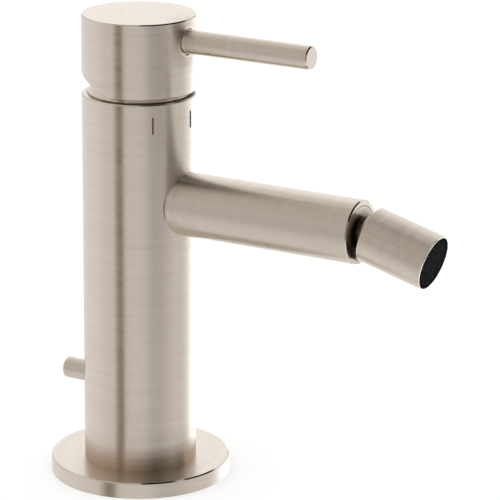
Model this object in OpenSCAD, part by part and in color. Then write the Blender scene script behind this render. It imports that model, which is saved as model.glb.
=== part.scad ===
// Single-lever bidet mixer with a swivelling outlet and a pop-up knob at the back.
// The deck is the plane z = 0, the column stands on the z axis and the spout points along -y.

/* [Column] */
// Diameter of the column and of the handle cap
column_d = 35; // [34:0.5:42]
// Height of the column's top above the deck
column_top = 121.9; // [119:0.1:140]
// Width of the small bevel on the turned edges
edge_bevel = 0.35; // [0.2:0.05:0.5]
// Diameter of the column's foot inside the flange
foot_d = 28; // [26:0.5:32]
// Wall of the foot outside the fixing stud's thread
stud_wall = 1.3; // [1:0.1:2]
// Wall of the foot outside the lift rod's guide bush
foot_wall = 0.65; // [0.5:0.05:1.2]

/* [Base] */
// Diameter of the base flange
flange_d = 56; // [53:0.5:66]
// Thickness of the base flange
flange_t = 5; // [4:0.25:8]
// Mean diameter of the sealing ring under the flange
gasket_d = 45; // [40:0.5:47]
// Width of the sealing ring
gasket_w = 5; // [3:0.25:6]
// Thickness of the sealing ring
gasket_t = 2; // [1.5:0.25:3]

/* [Deck connections] */
// Distance of each inlet from the mixer's centre plane
inlet_x = 7.3; // [6.8:0.1:7.8]
// Distance of the inlets in front of the column's axis
inlet_y = 1; // [0:0.1:2]
// Core diameter of the inlet threads
inlet_thread_d = 9; // [8:0.1:9.5]
// Depth of the inlet threads
inlet_thread_depth = 12; // [8:0.5:20]
// Diameter of the water channels above the inlet threads
channel_d = 6.4; // [5:0.1:6.8]
// Core diameter of the fixing stud's thread
stud_thread_d = 6.8; // [5:0.1:7.2]
// Depth of the fixing stud's thread
stud_thread_depth = 16; // [10:0.5:25]

/* [Hot and cold marks] */
// Turn of the hot mark from the spout, seen from above
hot_angle = -44.6; // [-60:0.1:-20]
// Turn of the cold mark from the spout, seen from above
cold_angle = 4; // [-5:0.1:30]
// Depth of the marks' middle below the column's top
mark_drop = 6.5; // [5:0.1:12]
// Height of each mark
mark_h = 5.2; // [3:0.1:8]
// Width of the hot mark
hot_mark_w = 0.45; // [0.4:0.05:1.2]
// Width of the cold mark
cold_mark_w = 0.95; // [0.4:0.05:1.2]
// Depth of the inlaid colour
mark_depth = 0.4; // [0.3:0.05:0.8]

/* [Spout] */
// Height of the spout's axis above the deck
spout_height = 88.9; // [75:0.1:89.5]
// Outer diameter of the spout
spout_d = 19.7; // [19.5:0.1:24]
// Distance of the spout's end from the column's axis
spout_reach = 77; // [60:0.5:110]
// Water bore of the spout
spout_bore_d = 14.4; // [12:0.1:16]
// Diameter of the spout's tenon in the column
tenon_d = 14; // [13:0.1:16]
// Length of the tenon inside the column's skin
tenon_len = 6.5; // [5.5:0.1:7.5]
// Water bore of the tenon
tenon_bore_d = 8; // [6:0.1:9]
// Cord thickness of the tenon's sealing ring
tenon_seal_t = 1.6; // [1.2:0.1:2]

/* [Swivel joint] */
// Distance of the ball's centre beyond the spout's end
ball_offset = 3.1; // [2.9:0.1:4]
// Diameter of the fixed ball that the outlet turns on
ball_d = 11.4; // [11:0.1:12]
// Wall of the hollow ball
ball_wall = 1.1; // [0.9:0.1:1.2]
// Diameter of the ball's threaded neck in the collar
ball_neck_d = 9.4; // [8.8:0.1:10]
// Wall of the ball's threaded neck
ball_neck_wall = 0.7; // [0.6:0.05:0.9]
// Slope of the outlet below the spout's axis at rest
slope_angle = 15.2; // [0:0.1:18]
// Greatest swing of the outlet from the spout's axis
swing_angle = 18; // [15:0.5:18.5]
// Lip of the spout left round the collar
collar_rim = 0.45; // [0.3:0.05:0.6]
// Length of the collar in the spout
collar_len = 6; // [5:0.1:8]
// Thickness of the collar's front flange
collar_flange_t = 1.2; // [0.8:0.1:1.6]
// Thread step behind the collar's flange
collar_step = 0.4; // [0.3:0.05:0.6]
// Mean diameter of the groove turned in the collar's face
groove_d = 16.3; // [15:0.1:17]
// Width of that groove
groove_w = 0.2; // [0.15:0.05:0.3]
// Depth of that groove
groove_depth = 0.5; // [0.3:0.05:0.8]
// Thickness of the spherical seat and friction rings
seat_t = 0.45; // [0.4:0.05:0.5]
// Angle that the friction ring spans at the ball's centre
friction_angle = 29; // [26:0.5:30]
// Angle over which the friction ring still bears on the ball at full swing
bearing_angle = 8; // [6:0.5:9]
// Angle left between edges that pass each other on the ball
pass_angle = 1.2; // [0.8:0.1:1.5]
// Diameter of the retaining stem's shank
shank_d = 4.4; // [4:0.1:4.6]
// Water bore of the retaining stem
shank_bore_d = 3; // [2.4:0.1:3.2]

/* [Outlet sleeve] */
// Outer diameter of the outlet sleeve
sleeve_d = 17.2; // [17.2:0.1:18]
// Length of the sleeve from the ball's centre
sleeve_len = 21.7; // [20:0.1:28]
// Wall of the sleeve round the aerator
sleeve_wall = 0.45; // [0.4:0.05:0.7]
// Depth of the aerator pocket in the sleeve
aerator_depth = 9.7; // [8.5:0.1:12]
// Thickness of the aerator's rubber washer
washer_t = 1.5; // [1:0.1:2]
// Wall of the aerator housing
housing_wall = 0.6; // [0.5:0.05:1.5]
// Depth of the grid's face inside the sleeve's end
grid_inset = 0.15; // [0.1:0.05:0.5]
// Thickness of the outlet grid
grid_t = 1.4; // [1:0.1:2]
// Width across the flats of one grid cell
cell_w = 0.9; // [0.8:0.05:1.6]
// Web between grid cells
cell_web = 0.25; // [0.2:0.05:0.5]
// Thickness of the fine screen inside the aerator
screen_t = 1; // [0.8:0.1:1.5]

/* [Handle] */
// Gap between the column and the handle cap
cap_gap = 1.25; // [1.1:0.05:2]
// Height of the handle cap
cap_h = 23.25; // [22:0.05:28]
// Wall of the cap at its lower edge
cap_wall = 1.85; // [1.6:0.05:2]
// Slope of the relief cut under the back of the cap
relief_angle = 20.5; // [20:0.1:25]
// Distance of the relief's front edge in front of the axis
relief_start = 1.2; // [0.5:0.1:2]
// Depth of the lever's axis below the cap's top
lever_drop = 6.8; // [6:0.1:7.5]
// Diameter of the lever
lever_d = 7.3; // [6:0.1:8]
// Distance of the lever's end from the column's axis
lever_reach = 59.7; // [45:0.5:90]
// Length of the lever inside the cap
lever_seat = 10.5; // [9:0.1:11]
// Diameter of the recess round the lever in the cap
recess_d = 8.5; // [8.3:0.05:9]
// Depth of that recess
recess_depth = 1.2; // [0.8:0.1:2]
// Diameter of the grub screw behind the lever
grub_d = 4; // [3:0.1:4.5]
// Width of the stem's square in the cap
stem_w = 6; // [5:0.1:6.2]
// Depth of the stem's square, front to back
stem_l = 7; // [6:0.1:7]
// Cap material left above the stem
stem_cover = 3.4; // [2.5:0.1:4]

/* [Cartridge] */
// Depth of the lever's pivot below the column's top
pivot_depth = 4.7; // [4.5:0.1:5.2]
// Diameter of the cartridge housing
cartridge_d = 25.6; // [25:0.1:26]
// Thread step of the cartridge nut outside the housing
nut_step = 1.3; // [1:0.1:1.5]
// Height of the cartridge nut
nut_h = 4.4; // [3.5:0.1:4.4]
// Width of the spanner notches in the nut
notch_w = 3; // [2:0.1:4]
// Depth of the spanner notches in the nut
notch_depth = 1.5; // [1:0.1:2]
// Depth of the housing's top below the pivot
housing_drop = 1.7; // [1.6:0.1:2.5]
// Diameter of the turning rotor
rotor_d = 18; // [17.5:0.1:18.4]
// Height of the rotor above the pivot
rotor_rise = 3.3; // [3:0.1:3.6]
// Step of the rotor's foot below its guide
rotor_step = 1.7; // [1.2:0.1:1.9]
// Height of the rotor's foot
rotor_foot_h = 3; // [2.5:0.1:3.2]
// Diameter of the lever's pivot pin
pin_d = 3; // [2.5:0.1:3.4]
// Distance of the stem's drive ball below the pivot
drive_arm = 7; // [6.5:0.1:7.5]
// Diameter of the stem's drive ball
drive_ball_d = 4.4; // [4:0.1:4.6]
// Diameter of the drive ball's neck
drive_neck_d = 3.4; // [2.8:0.1:3.6]
// Gap round the drive ball in the carrier, wide enough for its short arc
drive_gap = 0.15; // [0.1:0.05:0.2]
// Width of the disc carrier
carrier_w = 10; // [8:0.1:10.2]
// Length of the disc carrier, front to back
carrier_l = 9.6; // [8.5:0.1:9.8]
// Height of the disc carrier
carrier_h = 6.4; // [6:0.1:7]
// Height of the carrier's top above the drive ball's centre
carrier_rise = 1.3; // [1:0.1:1.5]
// Thickness of each ceramic disc
disc_t = 3; // [2.5:0.1:3]
// Diameter of the moving disc
moving_disc_d = 17; // [15:0.1:17.5]
// Diameter of the mixing hollow under the moving disc
mixing_d = 9; // [7:0.1:10]
// Wall of the cartridge housing round the discs
chamber_wall = 1.8; // [1.5:0.1:2]
// Thickness of the cartridge floor
cartridge_floor_t = 2; // [1.8:0.1:2.5]
// Diameter of the ports through the cartridge floor
port_d = 4; // [3:0.1:4.4]
// Distance of the mixed water port in front of the axis
mixed_port_y = 7.6; // [7.2:0.1:7.8]
// Diameter of each port seal
port_seal_d = 8; // [7.2:0.1:8.2]
// Thickness of the port seals
port_seal_t = 1; // [0.8:0.1:1.2]
// Wall of the dome that covers the nut
dome_wall = 1.2; // [1:0.1:1.5]
// Diameter of the dome's upper opening
dome_mouth_d = 21; // [20:0.5:23]
// Depth of the dome's skirt in the column
dome_skirt = 1.6; // [1.2:0.1:1.7]

/* [Lever travel] */
// Angle that the lever lifts from closed to full flow
lift_angle = 20; // [15:0.5:20]

/* [Pop-up] */
// Height of the knob above the deck at rest
knob_height = 28.6; // [24:0.1:40]
// Diameter of the knob
knob_d = 6.7; // [5:0.1:8]
// Length of the knob outside the column
knob_len = 9.3; // [7:0.1:15]
// Gap between the knob and the column
knob_gap = 0.3; // [0.25:0.05:0.6]
// Diameter of the knob's neck in the slot
neck_d = 3.2; // [2.6:0.1:3.4]
// Travel of the knob
lift_travel = 25; // [15:0.5:30]
// Diameter of the lift rod
lift_rod_d = 5; // [4.6:0.1:5.2]
// Height of the lift rod's lower end above the deck at rest
lift_rod_low = 1.5; // [0.5:0.1:3]
// Length of the lift rod above the knob's axis
lift_rod_head = 4.4; // [3.5:0.1:6]
// Core diameter of the thread in the lift rod's lower end
lift_thread_d = 3.3; // [2.5:0.1:3.4]
// Depth of the thread in the lift rod's lower end
lift_thread_depth = 8; // [5:0.5:12]
// Wall of the lift rod's guide bush
bush_wall = 1; // [0.8:0.1:1.1]
// Length of the guide bush
bush_len = 5.7; // [4:0.1:8]
// Height of the guide bush above the deck
bush_low = 0.3; // [0.2:0.1:1]

/* [Fits] */
// Gap of fixed fits, on the radius
fixed_gap = 0.02; // [0.01:0.01:0.03]
// Gap of turning and sliding fits, on the radius
running_gap = 0.05; // [0.03:0.01:0.06]
// Gap between curved faces that pass each other
clear_gap = 0.35; // [0.3:0.05:0.4]

/* [Hidden] */
$fn = 96;

nickel = [0.70, 0.66, 0.60];
polished = [0.80, 0.79, 0.77];
brass = [0.78, 0.62, 0.32];
black = [0.06, 0.06, 0.065];
rubber = [0.10, 0.10, 0.10];
ivory = [0.88, 0.86, 0.80];

// Cutting tools reach this far past the faces that they open
over = 1;
// Half side of a block that cuts everything on one side of a plane
far = 200;

column_r = column_d / 2;
stud_y = foot_d / 2 - stud_wall - stud_thread_d / 2;
spout_r = spout_d / 2;
ball_r = ball_d / 2;
sleeve_r = sleeve_d / 2;
lever_r = lever_d / 2;

// Handle
cap_bottom = column_top + cap_gap;
cap_top = cap_bottom + cap_h;
lever_z = cap_top - lever_drop;
stem_top = cap_top - stem_cover;
lever_inner_y = column_r - lever_seat;

// Cartridge stack, from the pivot down to the floor of the column's chamber
pivot_z = column_top - pivot_depth;
drive_z = pivot_z - drive_arm;
carrier_top = drive_z + carrier_rise;
carrier_bottom = carrier_top - carrier_h;
moving_disc_z = carrier_bottom - disc_t;
fixed_disc_z = moving_disc_z - fixed_gap - disc_t;
chamber_floor = fixed_disc_z - cartridge_floor_t;
housing_top = pivot_z - housing_drop;
housing_r = cartridge_d / 2;
rotor_r = rotor_d / 2;
disc_chamber_r = housing_r - chamber_wall;
rotor_foot_z = carrier_bottom + fixed_gap;
rotor_foot_top = rotor_foot_z + rotor_foot_h;
nut_r = housing_r + nut_step;
nut_top = housing_top + nut_h;
nut_bore_r = rotor_r + clear_gap;
// The drive ball carries the carrier from half a stroke behind the axis to half a stroke in front
disc_stroke = drive_arm * lift_angle * PI / 180;
carrier_y = disc_stroke / 2;

// Dome and the hollow of the cap share the pivot as their centre
cavity_r = norm([column_r - cap_wall, cap_gap + pivot_depth]);
dome_r = cavity_r - clear_gap;
dome_skirt_r = nut_r - running_gap;

// Swivel joint
ball_y = spout_reach + ball_offset;
collar_r = spout_r - collar_rim;
collar_thread_r = collar_r - collar_step;
// Distance of the collar's rear face behind the ball's centre
collar_rear = ball_offset + collar_len;
ball_neck_r = ball_neck_d / 2;
ball_inner_r = ball_r - ball_wall;
seat_in_r = ball_r + running_gap;
seat_out_r = seat_in_r + seat_t;
socket_r = seat_out_r + running_gap;
friction_out_r = ball_inner_r - running_gap;
friction_in_r = friction_out_r - seat_t;
head_r = friction_in_r - running_gap;
shank_r = shank_d / 2;
// Angles at the ball's centre, measured from the side where the water leaves
ball_mouth_angle = asin(shank_r / ball_inner_r) + swing_angle + pass_angle;
seat_from = ball_mouth_angle + pass_angle;
seat_to = 90 - swing_angle - pass_angle;
friction_to = ball_mouth_angle + swing_angle + bearing_angle;
friction_from = friction_to - friction_angle;
head_angle = friction_to - pass_angle;

// Outlet sleeve, measured along its own axis from the ball's centre
aerator_r = sleeve_r - sleeve_wall;
aerator_start = sleeve_len - aerator_depth;
housing_start = aerator_start + washer_t;
grid_end = sleeve_len - grid_inset;
grid_start = grid_end - grid_t;
aerator_core_r = aerator_r - fixed_gap - housing_wall;
screen_start = housing_start + housing_wall;

// Pop-up
knob_start = column_r + knob_gap;
lift_bore_r = lift_rod_d / 2 + 2 * running_gap;
bush_in_r = lift_rod_d / 2 + running_gap;
bush_out_r = bush_in_r + bush_wall;
lift_y = foot_d / 2 - foot_wall - bush_out_r;
slot_r = neck_d / 2 + clear_gap;
lift_top = knob_height + lift_rod_head;

// Disc standing on the xy plane with bevelled edges
module bevelled_disc(r, h, low, high) {
    rotate_extrude()
        polygon([[0, 0], [r - low, 0], [r, low], [r, h - high], [r - high, h], [0, h]]);
}

module ring(r_out, r_in, h) {
    difference() {
        cylinder(r = r_out, h = h);
        translate([0, 0, -over]) cylinder(r = r_in, h = h + 2 * over);
    }
}

// Places children on a horizontal axis at height z that runs forward from the column's axis
module forward(z, y = 0) {
    translate([0, -y, z]) rotate([90, 0, 0]) children();
}

// Places children at the ball's centre with their z axis along an outlet that slopes down
module at_ball(slope) {
    translate([0, -ball_y, spout_height]) rotate([90 + slope, 0, 0]) children();
}

// Ring between two spheres, with its edges at two angles from the z axis
module spherical_ring(r_in, r_out, from, to) {
    reach = 3 * r_out;
    rotate_extrude()
        intersection() {
            difference() {
                circle(r = r_out);
                circle(r = r_in);
            }
            polygon([
                [0, 0],
                reach * [sin(from), cos(from)],
                reach * [sin(to), cos(to)]
            ]);
        }
}

module seal_ring(r_outer, cord) {
    rotate_extrude()
        translate([r_outer - cord / 2, 0]) circle(d = cord, $fn = 32);
}

module base_flange() {
    color(nickel)
        difference() {
            bevelled_disc(flange_d / 2, flange_t, 0, edge_bevel);
            translate([0, 0, -over]) cylinder(d = foot_d + 2 * fixed_gap, h = flange_t + 2 * over);
            translate([0, 0, -over]) ring(
                gasket_d / 2 + gasket_w / 2 + fixed_gap,
                gasket_d / 2 - gasket_w / 2 - fixed_gap,
                gasket_t + over
            );
        }
}

module base_gasket() {
    color(rubber)
        ring(gasket_d / 2 + gasket_w / 2, gasket_d / 2 - gasket_w / 2, gasket_t);
}

// Inlaid stripe on the column's skin
module mark_stripe(turn, w, gap) {
    intersection() {
        translate([0, 0, column_top - mark_drop - mark_h / 2 - gap])
            ring(column_r, column_r - mark_depth - gap, mark_h + 2 * gap);
        rotate([0, 0, turn])
            translate([-w / 2 - gap, -column_r - over, 0])
                cube([w + 2 * gap, column_r, column_top]);
    }
}

module hot_mark() {
    color([0.75, 0.12, 0.10]) mark_stripe(hot_angle, hot_mark_w, 0);
}

module cold_mark() {
    color([0.12, 0.25, 0.70]) mark_stripe(cold_angle, cold_mark_w, 0);
}

// Hollows of the column: chamber, water channels, spout socket and deck threads
module column_chamber() {
    translate([0, 0, chamber_floor])
        cylinder(r = housing_r + running_gap, h = column_top - chamber_floor + over);
    translate([0, 0, housing_top - over])
        cylinder(r = nut_r + running_gap, h = column_top - housing_top + 2 * over);
}

module column_channels() {
    for (side = [-1, 1])
        translate([side * inlet_x, -inlet_y, -over]) {
            cylinder(d = inlet_thread_d, h = inlet_thread_depth + over);
            cylinder(d = channel_d, h = chamber_floor + 2 * over);
        }
    translate([0, -stud_y, -over]) cylinder(d = stud_thread_d, h = stud_thread_depth + over);
    translate([0, -mixed_port_y, spout_height])
        cylinder(d = port_d, h = chamber_floor - spout_height + over);
    forward(spout_height, column_r - tenon_len - fixed_gap)
        cylinder(d = tenon_d + 2 * fixed_gap, h = tenon_len + over);
    forward(spout_height, mixed_port_y - port_d / 2)
        cylinder(d = tenon_bore_d, h = column_r - mixed_port_y);
}

module popup_channel() {
    translate([0, lift_y, -over]) cylinder(r = lift_bore_r, h = lift_top + lift_travel + 2 * over);
    translate([0, lift_y, -over]) cylinder(r = bush_out_r + fixed_gap, h = bush_low + bush_len + over);
    for (z = [knob_height, knob_height + lift_travel])
        forward(z, -column_r - over) cylinder(r = slot_r, h = column_r + over - lift_y);
    translate([-slot_r, lift_y, knob_height])
        cube([2 * slot_r, column_r - lift_y + over, lift_travel]);
}

module body_column() {
    color(nickel)
        difference() {
            union() {
                cylinder(d = foot_d, h = flange_t + over);
                translate([0, 0, flange_t])
                    bevelled_disc(column_r, column_top - flange_t, 0, edge_bevel);
            }
            column_chamber();
            column_channels();
            popup_channel();
            mark_stripe(hot_angle, hot_mark_w, fixed_gap);
            mark_stripe(cold_angle, cold_mark_w, fixed_gap);
        }
}

module spout_tube() {
    tenon_inner = column_r - tenon_len;
    neck_end = column_r + spout_bore_d / 2;
    thread_y = ball_y - collar_rear;
    color(nickel)
        difference() {
            union() {
                forward(spout_height, tenon_inner) cylinder(d = tenon_d, h = tenon_len + over);
                difference() {
                    forward(spout_height) bevelled_disc(spout_r, spout_reach, 0, edge_bevel);
                    cylinder(r = column_r + fixed_gap, h = column_top);
                }
            }
            forward(spout_height, tenon_inner - over)
                cylinder(d = tenon_bore_d, h = spout_reach);
            forward(spout_height, neck_end)
                cylinder(d = spout_bore_d, h = spout_reach);
            forward(spout_height, thread_y)
                cylinder(r = collar_thread_r + fixed_gap, h = spout_reach);
            forward(spout_height, spout_reach - collar_flange_t)
                cylinder(r = collar_r + fixed_gap, h = spout_reach);
            forward(spout_height, tenon_inner + tenon_len / 2 - tenon_seal_t / 2 - fixed_gap)
                ring(tenon_d, tenon_d / 2 - tenon_seal_t, tenon_seal_t + 2 * fixed_gap);
        }
}

module spout_seal() {
    color(rubber)
        forward(spout_height, column_r - tenon_len / 2)
            seal_ring(tenon_d / 2 - fixed_gap / 2, tenon_seal_t - fixed_gap);
}

// Collar in the spout's end that holds the ball by its neck
module ball_collar() {
    front = -ball_offset;
    rear = fixed_gap - collar_rear;
    color(polished)
        at_ball(0)
            difference() {
                union() {
                    translate([0, 0, rear]) cylinder(r = collar_thread_r, h = front - rear);
                    translate([0, 0, front - collar_flange_t]) cylinder(r = collar_r, h = collar_flange_t);
                }
                translate([0, 0, rear - over]) cylinder(r = ball_neck_r + fixed_gap, h = far);
                sphere(r = ball_r + fixed_gap);
                translate([0, 0, front - groove_depth])
                    ring(groove_d / 2 + groove_w / 2, groove_d / 2 - groove_w / 2, groove_depth + over);
            }
}

// Fixed hollow ball with a threaded neck, open in front for the stem and the water
module ball_stud() {
    mouth = 3 * ball_r;
    tail = fixed_gap - collar_rear;
    color(black)
        at_ball(0)
            difference() {
                union() {
                    sphere(r = ball_r);
                    translate([0, 0, tail]) cylinder(r = ball_neck_r, h = -tail);
                }
                sphere(r = ball_inner_r);
                translate([0, 0, tail - over]) cylinder(r = ball_neck_r - ball_neck_wall, h = over - tail);
                cylinder(r1 = 0, r2 = mouth * tan(ball_mouth_angle), h = mouth);
            }
}

module seat_ring() {
    color(ivory)
        at_ball(0) spherical_ring(seat_in_r, seat_out_r, seat_from, seat_to);
}

module friction_ring() {
    color(ivory)
        at_ball(slope_angle) spherical_ring(friction_in_r, friction_out_r, friction_from, friction_to);
}

// Hollow screw in the sleeve whose head holds the sleeve on the ball from inside
module retaining_stem() {
    head_back = head_r * cos(head_angle);
    tip = aerator_start - fixed_gap;
    color(brass)
        at_ball(slope_angle)
            difference() {
                union() {
                    intersection() {
                        sphere(r = head_r);
                        translate([-far, -far, head_back]) cube(2 * far);
                    }
                    translate([0, 0, head_back]) cylinder(r = shank_r, h = tip - head_back);
                }
                translate([0, 0, head_back - over]) cylinder(d = shank_bore_d, h = tip - head_back + 2 * over);
            }
}

// Turning outlet with a spherical socket for the ball and a pocket for the aerator
module outlet_sleeve() {
    color(nickel)
        at_ball(slope_angle)
            difference() {
                bevelled_disc(sleeve_r, sleeve_len, edge_bevel, edge_bevel / 2);
                sphere(r = socket_r);
                cylinder(r = shank_r + fixed_gap, h = sleeve_len);
                translate([0, 0, aerator_start]) cylinder(r = aerator_r, h = aerator_depth + over);
            }
}

module aerator_washer() {
    color(rubber)
        at_ball(slope_angle)
            translate([0, 0, aerator_start]) ring(aerator_r - fixed_gap, aerator_core_r - housing_wall, washer_t);
}

module aerator_housing() {
    color(black)
        at_ball(slope_angle)
            difference() {
                translate([0, 0, housing_start])
                    cylinder(r = aerator_r - fixed_gap, h = grid_end - housing_start);
                translate([0, 0, housing_start - over])
                    cylinder(r = aerator_core_r - housing_wall, h = sleeve_len);
                translate([0, 0, screen_start]) cylinder(r = aerator_core_r, h = sleeve_len);
            }
}

// Plate pierced as a honeycomb: the flats of its six-sided cells face each other, so every web is even
module pierced_plate(r, t, cell, web) {
    pitch = cell + web;
    row = pitch * sqrt(3) / 2;
    rows = ceil(r / row);
    linear_extrude(t)
        difference() {
            circle(r = r);
            for (i = [-rows:rows], j = [-rows:rows]) {
                spot = [(j + (i % 2) / 2) * pitch, i * row];
                if (norm(spot) < r - web - cell / 2 / cos(30))
                    translate(spot) rotate(30) circle(d = cell / cos(30), $fn = 6);
            }
        }
}

module aerator_screen() {
    color(black)
        at_ball(slope_angle)
            translate([0, 0, screen_start])
                pierced_plate(aerator_core_r - fixed_gap, screen_t, 2 * cell_w, 2 * cell_web);
}

module aerator_grid() {
    color(black)
        at_ball(slope_angle)
            translate([0, 0, grid_start])
                pierced_plate(aerator_core_r - fixed_gap, grid_t, cell_w, cell_web);
}

// Centres of the hot, cold and mixed ports on the cartridge floor
port_spots = [[-inlet_x, -inlet_y], [inlet_x, -inlet_y], [0, -mixed_port_y]];

module cartridge_housing() {
    color(ivory)
        difference() {
            translate([0, 0, chamber_floor]) cylinder(r = housing_r, h = housing_top - chamber_floor);
            translate([0, 0, fixed_disc_z])
                cylinder(r = disc_chamber_r, h = rotor_foot_top + fixed_gap - fixed_disc_z);
            translate([0, 0, fixed_disc_z])
                cylinder(r = rotor_r + running_gap, h = housing_top - fixed_disc_z + over);
            for (spot = port_spots)
                translate([spot.x, spot.y, chamber_floor - over]) {
                    cylinder(d = port_d, h = cartridge_floor_t + 2 * over);
                    cylinder(d = port_seal_d + 2 * fixed_gap, h = port_seal_t + over);
                }
        }
}

module port_seals() {
    color(rubber)
        for (spot = port_spots)
            translate([spot.x, spot.y, chamber_floor])
                ring(port_seal_d / 2, port_d / 2, port_seal_t);
}

module fixed_disc() {
    color(ivory)
        difference() {
            translate([0, 0, fixed_disc_z]) cylinder(r = disc_chamber_r - running_gap, h = disc_t);
            for (spot = port_spots)
                translate([spot.x, spot.y, fixed_disc_z - over])
                    cylinder(d = port_d, h = disc_t + 2 * over);
        }
}

module moving_disc() {
    color(ivory)
        translate([0, carrier_y, moving_disc_z])
            difference() {
                cylinder(d = moving_disc_d, h = disc_t);
                translate([0, 0, -over]) cylinder(d = mixing_d, h = disc_t / 2 + over);
            }
}

// Sliding block that the stem's drive ball pushes across the fixed disc
module disc_carrier() {
    pocket = drive_ball_d + 2 * drive_gap;
    floor_z = drive_z - drive_ball_d / 2 - drive_gap;
    color(ivory)
        difference() {
            translate([-carrier_w / 2, carrier_y - carrier_l / 2, carrier_bottom])
                cube([carrier_w, carrier_l, carrier_h]);
            translate([-pocket / 2, -pocket / 2, floor_z]) cube([pocket, pocket, carrier_h]);
        }
}

// Turning head of the cartridge with a cross slot for the stem and a channel for the carrier
module cartridge_rotor() {
    channel_w = carrier_w + 2 * running_gap;
    channel_l = carrier_l + disc_stroke + 2 * clear_gap;
    slot_w = stem_w + 2 * running_gap;
    color(ivory)
        difference() {
            union() {
                translate([0, 0, rotor_foot_z])
                    cylinder(r = rotor_r, h = pivot_z + rotor_rise - rotor_foot_z);
                translate([0, 0, rotor_foot_z])
                    cylinder(r = rotor_r + rotor_step, h = rotor_foot_h);
            }
            translate([-channel_w / 2, -channel_l / 2, rotor_foot_z - over])
                cube([channel_w, channel_l, carrier_top - rotor_foot_z + running_gap + over]);
            translate([-slot_w / 2, -channel_l / 2, carrier_top])
                cube([slot_w, channel_l, pivot_z + rotor_rise - carrier_top + over]);
            translate([-far, 0, pivot_z]) rotate([0, 90, 0]) cylinder(d = pin_d + 2 * fixed_gap, h = 2 * far);
        }
}

module pivot_pin() {
    pin_len = 2 * rotor_r - 4 * clear_gap;
    color(brass)
        translate([-pin_len / 2, 0, pivot_z]) rotate([0, 90, 0]) cylinder(d = pin_d, h = pin_len);
}

module lever_stem() {
    color(brass)
        difference() {
            union() {
                translate([0, 0, drive_z]) sphere(d = drive_ball_d);
                translate([0, 0, drive_z]) cylinder(d = drive_neck_d, h = drive_arm);
                translate([-stem_w / 2, 0, pivot_z]) rotate([0, 90, 0]) cylinder(d = stem_l, h = stem_w);
                translate([-stem_w / 2, -stem_l / 2, pivot_z])
                    cube([stem_w, stem_l, stem_top - pivot_z]);
            }
            translate([-far, 0, pivot_z]) rotate([0, 90, 0]) cylinder(d = pin_d + 2 * running_gap, h = 2 * far);
        }
}

module cartridge_nut() {
    color(brass)
        difference() {
            translate([0, 0, housing_top]) ring(nut_r, nut_bore_r, nut_h);
            for (turn = [0, 90])
                rotate([0, 0, turn])
                    translate([-far, -notch_w / 2, nut_top - notch_depth]) cube([2 * far, notch_w, far]);
        }
}

// Spherical cover over the nut, seen through the relief under the back of the cap
module dome_cover() {
    color(nickel)
        difference() {
            union() {
                intersection() {
                    translate([0, 0, pivot_z]) sphere(r = dome_r);
                    translate([-far, -far, column_top]) cube(2 * far);
                }
                translate([0, 0, column_top - dome_skirt]) cylinder(r = dome_skirt_r, h = dome_skirt + over);
            }
            translate([0, 0, column_top - dome_skirt - over])
                cylinder(r = dome_skirt_r - dome_wall, h = dome_skirt + dome_wall + over);
            intersection() {
                translate([0, 0, pivot_z]) sphere(r = dome_r - dome_wall);
                translate([-far, -far, column_top + dome_wall]) cube(2 * far);
            }
            translate([0, 0, column_top]) cylinder(d = dome_mouth_d, h = far);
        }
}

module lever_cap() {
    color(nickel)
        difference() {
            translate([0, 0, cap_bottom]) bevelled_disc(column_r, cap_h, edge_bevel, edge_bevel);
            translate([0, 0, pivot_z]) sphere(r = cavity_r);
            translate([0, -relief_start, cap_bottom])
                rotate([relief_angle, 0, 0]) translate([-far, 0, -2 * far]) cube(2 * far);
            translate([-stem_w / 2 - fixed_gap, -stem_l / 2 - fixed_gap, pivot_z])
                cube([stem_w + 2 * fixed_gap, stem_l + 2 * fixed_gap, stem_top + fixed_gap - pivot_z]);
            forward(lever_z) cylinder(d = grub_d + 2 * fixed_gap, h = column_r);
            forward(lever_z, lever_inner_y) cylinder(r = lever_r + fixed_gap, h = column_r);
            forward(lever_z, column_r - recess_depth) cylinder(d = recess_d, h = column_r);
        }
}

module lever_rod() {
    color(nickel)
        forward(lever_z, lever_inner_y)
            bevelled_disc(lever_r, lever_reach - lever_inner_y, edge_bevel, edge_bevel);
}

module grub_screw() {
    start = stem_l / 2;
    color(brass)
        forward(lever_z, start) cylinder(d = grub_d, h = lever_inner_y - start - clear_gap);
}

module popup_rod() {
    color(brass)
        difference() {
            translate([0, lift_y, lift_rod_low])
                bevelled_disc(lift_rod_d / 2, lift_top - lift_rod_low, edge_bevel, edge_bevel);
            translate([0, lift_y, lift_rod_low - over])
                cylinder(d = lift_thread_d, h = lift_thread_depth + over);
            forward(knob_height, -column_r) cylinder(d = neck_d + 2 * fixed_gap, h = column_r - lift_y + neck_d / 2);
        }
}

module popup_knob() {
    color(nickel)
        translate([0, 0, knob_height]) rotate([-90, 0, 0]) {
            translate([0, 0, knob_start]) bevelled_disc(knob_d / 2, knob_len, edge_bevel, edge_bevel);
            translate([0, 0, lift_y]) cylinder(d = neck_d, h = knob_start - lift_y + over);
        }
}

module popup_bush() {
    color(ivory)
        translate([0, lift_y, bush_low]) ring(bush_out_r, bush_in_r, bush_len);
}

base_flange();
base_gasket();
body_column();
hot_mark();
cold_mark();
spout_tube();
spout_seal();
ball_collar();
ball_stud();
seat_ring();
friction_ring();
retaining_stem();
outlet_sleeve();
aerator_washer();
aerator_housing();
aerator_screen();
aerator_grid();
cartridge_housing();
port_seals();
fixed_disc();
moving_disc();
disc_carrier();
cartridge_rotor();
pivot_pin();
lever_stem();
cartridge_nut();
dome_cover();
lever_cap();
lever_rod();
grub_screw();
popup_rod();
popup_knob();
popup_bush();
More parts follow.
